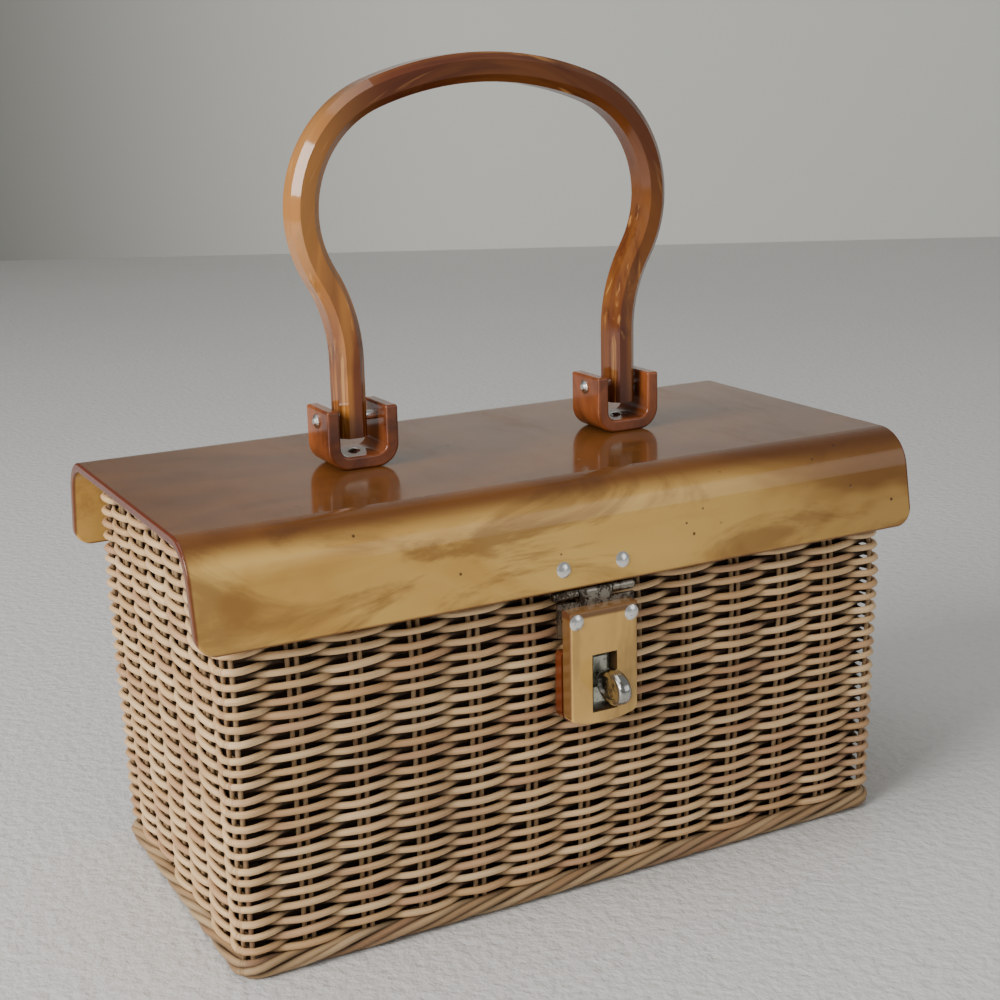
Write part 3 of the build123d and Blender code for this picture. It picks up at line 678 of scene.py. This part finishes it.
def marbled_finish(name, colours, stretch, shift, gloss, dark_share, edges_and_shade=None):
    """Marbled plastic of three colours. The last argument may darken its edges and paint shade on it."""
    light, middle, dark = colours
    finish = Finish(name, ior=1.5, specular_ior_level=0.4, coat_weight=0.2, coat_roughness=0.06)
    where = finish.place(stretch)
    streaks = finish.cloud(where, 22.0, 5.0, 0.62, 0.6)
    clouds = finish.cloud(finish.place((1, 1, 1), (0.3, 0.2, 0.5 + shift)), 9.0, 3.0, 0.5, 0.8)
    threads = finish.cloud(where, 95.0, 3.0, 0.6, 0.3)
    body = finish.blend(clouds.between(0.35, 0.68), light, middle)
    edge = 0.62 - 0.12 * dark_share
    body = finish.blend(streaks.between(edge - 0.10, edge + 0.14) * (0.5 + 0.5 * dark_share), body, dark)
    body = finish.blend(threads.between(0.55, 0.75) * 0.25, body, dark)
    specks = finish.node("ShaderNodeTexVoronoi", None, {"Vector": finish.place(), "Scale": 120.0})
    seldom = finish.cloud(finish.place(), 60.0, 1.0).between(0.58, 0.66)
    pit = specks.between(0.10, 0.03) * seldom
    body = finish.blend(pit, body, (0.03, 0.012, 0.006))
    if edges_and_shade:
        body = edges_and_shade(finish, body, dark)
    finish.colour(body)
    smears = finish.cloud(finish.place((1, 1, 1), (0.0, 0.4, 0.9)), 35.0, 5.0, 0.65)
    finish.roughness(smears.between(0.45, 0.75) * 0.16 + gloss)
    ripple = finish.cloud(finish.place(), 14.0, 2.0)
    finish.relief(ripple - pit * 0.25, 0.0004)
    return finish


print("marbled plastic is ready")

# %% [markdown]
# ## The lid's own finish
# The lid is the largest sheet. Its aprons are golden with smoky wisps, its top is coloured a darker
# brown, and the sawn edges are dark red. The three regions are told apart by height and by the distance
# to the ends, with soft steps between them. The aprons get darker towards the right end, more so in the
# smoky clouds.

# %% Finish for the lid
lid_low, lid_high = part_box("lid")


def lid_finish():
    gloss = {"ior": 1.5, "specular_ior_level": 0.28, "coat_weight": 0.08, "coat_roughness": 0.05}
    finish = Finish("lid_marbled_plastic", **gloss)
    along, _, height = finish.parts(finish.place())
    on_top = height.between(lid_high.z - 7.5 * MM, lid_high.z - 1.5 * MM)
    sheet = finish.place((0.35, 1.0, 1.0), (0.15, 0.0, 0.05))
    wisps = finish.cloud(sheet, 34.0, 6.0, 0.62, 1.6)
    smoke = finish.cloud(finish.place((0.6, 1.0, 1.3)), 15.0, 3.0, 0.5, 2.2)
    grain = finish.cloud(finish.place((0.12, 1.0, 1.0)), 120.0, 4.0, 0.6)
    gold = finish.blend(smoke.between(0.38, 0.66), (0.66, 0.41, 0.120), (0.52, 0.285, 0.070))
    gold = finish.blend(wisps.between(0.50, 0.66) * 0.62, gold, (0.19, 0.08, 0.024))
    gold = finish.blend(grain.between(0.45, 0.75) * 0.22, gold, (0.25, 0.11, 0.03))
    # The aprons are coloured darker towards the right end, more so in the smoky clouds.
    ends = along.between(0.01, 0.11) * (smoke.between(0.40, 0.58) * 0.45 + 0.45)
    gold = finish.blend(ends, gold, (0.17, 0.070, 0.020))
    brown = finish.blend(smoke.between(0.35, 0.65), (0.152, 0.057, 0.014), (0.100, 0.036, 0.010))
    brown = finish.blend(wisps.between(0.50, 0.68) * 0.5, brown, (0.075, 0.028, 0.011))
    body = finish.blend(on_top, gold, brown)
    sawn_end = abs(along).between(lid_high.x - 1.2 * MM, lid_high.x - 0.4 * MM)
    sawn_foot = height.between(lid_low.z + 1.0 * MM, lid_low.z + 0.3 * MM)
    body = finish.blend(sawn_end * 0.9, body, (0.11, 0.022, 0.010))
    body = finish.blend(sawn_foot * 0.8, body, (0.16, 0.05, 0.014))
    specks = finish.node("ShaderNodeTexVoronoi", None, {"Vector": finish.place(), "Scale": 190.0})
    seldom = finish.cloud(finish.place(), 90.0, 1.0).between(0.61, 0.65)
    pit = specks.between(0.13, 0.07) * seldom
    body = finish.blend(pit * 0.85, body, (0.05, 0.02, 0.01))
    finish.colour(body)
    smears = finish.cloud(finish.place((1.6, 0.5, 0.5), (0.0, 0.2, 0.7)), 30.0, 5.0, 0.7)
    finish.roughness(smears.between(0.42, 0.75) * 0.15 + 0.13)
    waves = finish.cloud(finish.place((0.5, 1.0, 1.0)), 16.0, 2.0)
    finish.relief(waves - pit * 0.2, 0.0005)
    return finish


dress(lid_finish(), "lid")

# %% [markdown]
# ## The handle's own finish
# The handle was bent from a straight marbled bar, so its streaks run along it: up the legs and round
# the hoop. Round the hoop the streaks are told by the distance from its centre, on the legs by the
# distance from the middle, with a soft step where the legs flare. The bar is golden at the left of the
# hoop, where the strong left light falls, and that gold is partly painted light. It is redder at the
# right, darkest on the crown, and a little darker again at the very ends of the legs.

# %% Finish for the handle
handle_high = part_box("handle")[1]
hoop_centre_z = handle_high.z - handle_high.x
leg_top = hoop_centre_z - 30 * MM


def handle_finish():
    gloss = {"ior": 1.5, "specular_ior_level": 0.4, "coat_weight": 0.25, "coat_roughness": 0.05}
    finish = Finish("handle_marbled_plastic", **gloss)
    side, depth, height = finish.parts(finish.place())
    rise = height - hoop_centre_z
    reach = (side * side + rise * rise) ** 0.5
    swing = finish.node("ShaderNodeMath", {"operation": "ARCTAN2"}, {0: side, 1: rise})
    hoop = height.between(leg_top, leg_top + 35 * MM)
    across = reach * hoop + abs(side) * (1 - hoop)
    along = swing * handle_high.x * hoop + rise * (1 - hoop)
    bar = finish.node("ShaderNodeCombineXYZ", None, {0: across, 1: depth, 2: along * 0.07})
    streaks = finish.cloud(bar, 210.0, 4.0, 0.6, 0.7)
    broad = finish.cloud(bar, 90.0, 2.0, 0.5, 0.5)
    clouds = finish.cloud(finish.place(), 26.0, 3.0, 0.5, 0.6)
    body = finish.blend(broad.between(0.40, 0.62), (0.50, 0.190, 0.036), (0.22, 0.058, 0.013))
    body = finish.blend(streaks.between(0.46, 0.68) * 0.65, body, (0.055, 0.013, 0.005))
    crown = height.between(hoop_centre_z + 15 * MM, handle_high.z - 10 * MM)
    body = finish.blend(crown * 0.72, body, (0.075, 0.020, 0.011))
    body = finish.blend(clouds.between(0.50, 0.70) * 0.35, body, (0.08, 0.018, 0.006))
    # Partly painted light: the left of the hoop, which faces the strong left panel, is lightened to gold.
    golden_lit_side = side.between(-30 * MM, -70 * MM) * hoop
    body = finish.blend(golden_lit_side * 0.40, body, (0.85, 0.42, 0.12))
    red_side = side.between(-20 * MM, 70 * MM)
    body = finish.blend(red_side * 0.72, body, (0.085, 0.018, 0.006))
    legs = height.between(leg_top, leg_top - 30 * MM)
    body = finish.blend(legs * 0.72, body, (0.060, 0.011, 0.005))
    flecks = finish.cloud(bar, 420.0, 2.0).between(0.62, 0.74)
    finish.colour(finish.blend(flecks * 0.5, body, (0.70, 0.34, 0.10)))
    finish.roughness(clouds.between(0.4, 0.75) * 0.10 + 0.08)
    finish.relief(broad, 0.0003)
    return finish


dress(handle_finish(), "handle")

# %% [markdown]
# ## The small plastic pieces
# The latch plate is the palest piece, sawn from the same sheet as the lid, with edges that have darkened,
# painted shade on the walls of its slot and a painted shadow along its top, under the lid. The brackets
# and the blocks behind the hinges and the lock are red brown. The dark edges and the painted shade are
# told by their distance from the plate's middle, its top and its slot.

# %% Dark edges and painted shade of the latch plate
SLOT_HALF_WIDTH = 4.3 * MM
SLOT_HALF_HEIGHT = 9.0 * MM
SLOT_MIDDLE = 70.8 * MM
SOFT_STEP = 0.1 * MM
plate_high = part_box("latch_plate")[1]


def latch_edges_and_shade(finish, body, dark):
    """Darkens the two sides of the latch plate, and paints shade on the walls of its slot and a shadow along
    its top edge.
    """
    side, _, height = finish.parts(finish.place())
    sideways = abs(side)
    outer_edge = sideways.between(plate_high.x - 5 * SOFT_STEP, plate_high.x - SOFT_STEP)
    body = finish.blend(outer_edge * 0.85, body, dark)
    # Painted shade: the walls of the slot go almost black.
    beside = sideways.between(SLOT_HALF_WIDTH, SLOT_HALF_WIDTH - SOFT_STEP)
    level = abs(height - SLOT_MIDDLE).between(SLOT_HALF_HEIGHT, SLOT_HALF_HEIGHT - SOFT_STEP)
    body = finish.blend(beside * level * 0.92, body, (0.035, 0.012, 0.006))
    # Painted shadow: a dark band just under the top of the plate, where the lid's apron overhangs it.
    lid_shadow_band = height.between(plate_high.z - 2.6 * MM, plate_high.z - 1.6 * MM)
    return finish.blend(lid_shadow_band * 0.85, body, (0.09, 0.028, 0.010))


print("latch plate's top in mm", round(plate_high.z / MM, 1))

# %% Dress the small plastic pieces
latch_colours = ((0.80, 0.50, 0.150), (0.62, 0.35, 0.090), (0.060, 0.014, 0.006))
latch_plastic = marbled_finish(
    "latch_marbled_plastic", latch_colours, (1.0, 1.0, 0.45), 1.0, 0.14, 0.3, latch_edges_and_shade
)
dress(latch_plastic, "latch_plate")
bracket_colours = ((0.34, 0.100, 0.028), (0.20, 0.048, 0.016), (0.06, 0.014, 0.006))
bracket_plastic = marbled_finish("bracket_marbled_plastic", bracket_colours, (1.0, 1.0, 1.0), 3.0, 0.10, 0.7)
dress(bracket_plastic, "left_bracket", "right_bracket")
block_colours = ((0.15, 0.034, 0.011), (0.09, 0.020, 0.008), (0.045, 0.010, 0.005))
block_plastic = marbled_finish("block_marbled_plastic", block_colours, (1.0, 1.0, 0.6), 4.0, 0.12, 0.4)
dress(block_plastic, "lock_block", "left_rear_hinge_block", "right_rear_hinge_block")

# %% [markdown]
# ## Metals
# The rivets are bright aluminium gone slightly grey, the hinges are plated steel worn through in
# speckles, the lock plate is pitted nickel with a green tinge, and the knob is darkened nickel, rubbed
# smooth by fingers. All of them are one metal shader with noise for the tarnish.

# %% Finish for the metal pieces


def metal_finish(name, colours, tarnish_scale, share, sheen, pit_depth):
    """Metal of a bright and a dull colour, share of it dull, with a roughness for each in sheen."""
    bright, dull = colours
    smooth, rough = sheen
    finish = Finish(name, metallic=1.0)
    tarnish = finish.cloud(finish.place(), tarnish_scale, 5.0, 0.65)
    fine = finish.cloud(finish.place(), tarnish_scale * 6, 3.0, 0.6)
    patch = (tarnish * 0.7 + fine * 0.3).between(0.60 - 0.2 * share, 0.72 - 0.2 * share)
    finish.colour(finish.blend(patch, bright, dull))
    finish.roughness(patch * (rough - smooth) + smooth)
    finish.relief(fine, pit_depth)
    return finish


aluminium = ((0.84, 0.83, 0.80), (0.42, 0.40, 0.37))
plated_steel = ((0.30, 0.27, 0.22), (0.055, 0.040, 0.028))
nickel = ((0.56, 0.56, 0.47), (0.20, 0.20, 0.15))
dark_nickel = ((0.42, 0.41, 0.38), (0.13, 0.125, 0.115))
rivet_metal = metal_finish("rivet_aluminium", aluminium, 420.0, 0.4, (0.24, 0.5), 0.03 * MM)
hinge_metal = metal_finish("worn_hinge_plate", plated_steel, 260.0, 0.75, (0.30, 0.55), 0.05 * MM)
lock_metal = metal_finish("pitted_nickel", nickel, 500.0, 0.5, (0.32, 0.62), 0.10 * MM)
knob_metal = metal_finish("dark_nickel", dark_nickel, 300.0, 0.55, (0.14, 0.34), 0.03 * MM)

# %% Dress the metal pieces
rivets = [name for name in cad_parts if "rivet" in name or name.endswith("handle_pin")]
hinge_nodes = [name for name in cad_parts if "hinge" in name and "block" not in name]
dress(rivet_metal, *rivets)
dress(hinge_metal, *hinge_nodes)
dress(lock_metal, "lock_plate", "lock_back_plate")
dress(knob_metal, "turn_knob", "knob_washer")

# %% [markdown]
# ## Floor and backdrop
# The bag stands on a pale table with a fine grain, a little below the feet so that the two don't mix. The
# plain wall is a second plane, far enough back to leave room for a look at the bag from behind. It is
# turned to face the camera, and painted shade makes it darker to the left.

# %% Floor
FLOOR_SIZE = 4.0
FLOOR_GAP = 0.2 * MM
clear_selection()
bpy.ops.mesh.primitive_plane_add(size=FLOOR_SIZE, location=(0, 0, -FLOOR_GAP))
floor = bpy.context.object
floor.name = "pale_floor"
bpy.ops.object.transform_apply(location=True)
floor_finish = Finish("pale_table", roughness=0.5)
table_grain = floor_finish.cloud(floor_finish.place(), 260.0, 3.0, 0.55)
table_tone = floor_finish.cloud(floor_finish.place(), 3.0, 2.0)
table_colour = floor_finish.blend(table_tone, (0.60, 0.60, 0.59), (0.66, 0.65, 0.64))
grain_amount = table_grain.between(0.45, 0.75) * 0.25
floor_finish.colour(floor_finish.blend(grain_amount, table_colour, (0.46, 0.45, 0.44)))
floor_finish.relief(table_grain, 0.0011)
floor.data.materials.append(floor_finish.material)

# %% Backdrop
WALL_PLACE = (0.8, 1.6, 1.2)
WALL_SIZE = 6.0
WALL_TURN = (radians(90), 0, radians(-28))
clear_selection()
bpy.ops.mesh.primitive_plane_add(size=WALL_SIZE, location=WALL_PLACE, rotation=WALL_TURN)
backdrop = bpy.context.object
backdrop.name = "grey_backdrop"
bpy.ops.object.transform_apply(location=True, rotation=True)
backdrop_finish = Finish("grey_green_wall", roughness=0.8)
across_wall, _, _ = backdrop_finish.parts(backdrop_finish.place())
# Painted shade: the wall's colour falls from pale at the right to dark at the left.
to_the_right = across_wall.between(0.0, 0.85)
backdrop_finish.colour(backdrop_finish.blend(to_the_right, (0.17, 0.17, 0.15), (0.78, 0.78, 0.74)))
backdrop.data.materials.append(backdrop_finish.material)
print("floor and backdrop are stage, not part of the bag")

# %% [markdown]
# ## Light
# Plain soft studio light: a wide weak panel overhead, a strong one at the left, which gives much of the
# light on the end of the basket and on the handle, a weak one at the right front, and an even pale world.


# %% Soft panels
def panel(name, place, aim, size, power, tint):
    """An area light at a place, turned to face a point."""
    bpy.ops.object.light_add(type="AREA", location=place)
    light = bpy.context.object
    light.name = name
    light.rotation_euler = (Vector(aim) - Vector(place)).to_track_quat("-Z", "Y").to_euler()
    light.data.shape = "RECTANGLE"
    light.data.size, light.data.size_y = size
    light.data.energy = power
    light.data.color = tint


panel("overhead_panel", (-0.35, 0.15, 1.3), (0, 0, 0.1), (1.1, 0.9), 6.0, (1.0, 0.98, 0.95))
panel("left_panel", (-1.30, -0.30, 0.75), (0, 0, 0.1), (0.8, 0.8), 29.0, (1.0, 0.98, 0.95))
panel("right_panel", (0.9, -1.2, 0.7), (0, 0, 0.1), (1.0, 0.8), 3.5, (0.97, 0.98, 1.0))
world = bpy.data.worlds.new("pale_room")
world.use_nodes = True
world.node_tree.nodes["Background"].inputs["Color"].default_value = (0.78, 0.80, 0.80, 1.0)
world.node_tree.nodes["Background"].inputs["Strength"].default_value = 0.37
bpy.context.scene.world = world
print("three panels and the world")

# %% [markdown]
# ## Camera
# The camera stands at the front left, a little above the lid, and looks down at the bag with a slight
# roll. Its three directions are worked out from those angles.

# %% Camera
YAW, PITCH, ROLL = radians(27.9), radians(14.8), radians(-1.4)
LENS = 59.1
CAMERA_PLACE = (-0.2368, -0.4531, 0.2455)
ahead = Vector((sin(YAW) * cos(PITCH), cos(YAW) * cos(PITCH), -sin(PITCH)))
level_right = Vector((cos(YAW), -sin(YAW), 0))
level_up = level_right.cross(ahead)
right = level_right * cos(ROLL) + level_up * sin(ROLL)
up = level_up * cos(ROLL) - level_right * sin(ROLL)
bpy.ops.object.camera_add()
camera = bpy.context.object
camera.name = "front_left_camera"
camera.data.lens = LENS
camera.data.sensor_width = 36.0
camera.data.clip_start = 0.01
turn = Matrix((right, up, -ahead)).transposed().to_4x4()
camera.matrix_world = Matrix.Translation(CAMERA_PLACE) @ turn
bpy.context.scene.camera = camera
print(camera.name, "looks along", [round(value, 3) for value in ahead])
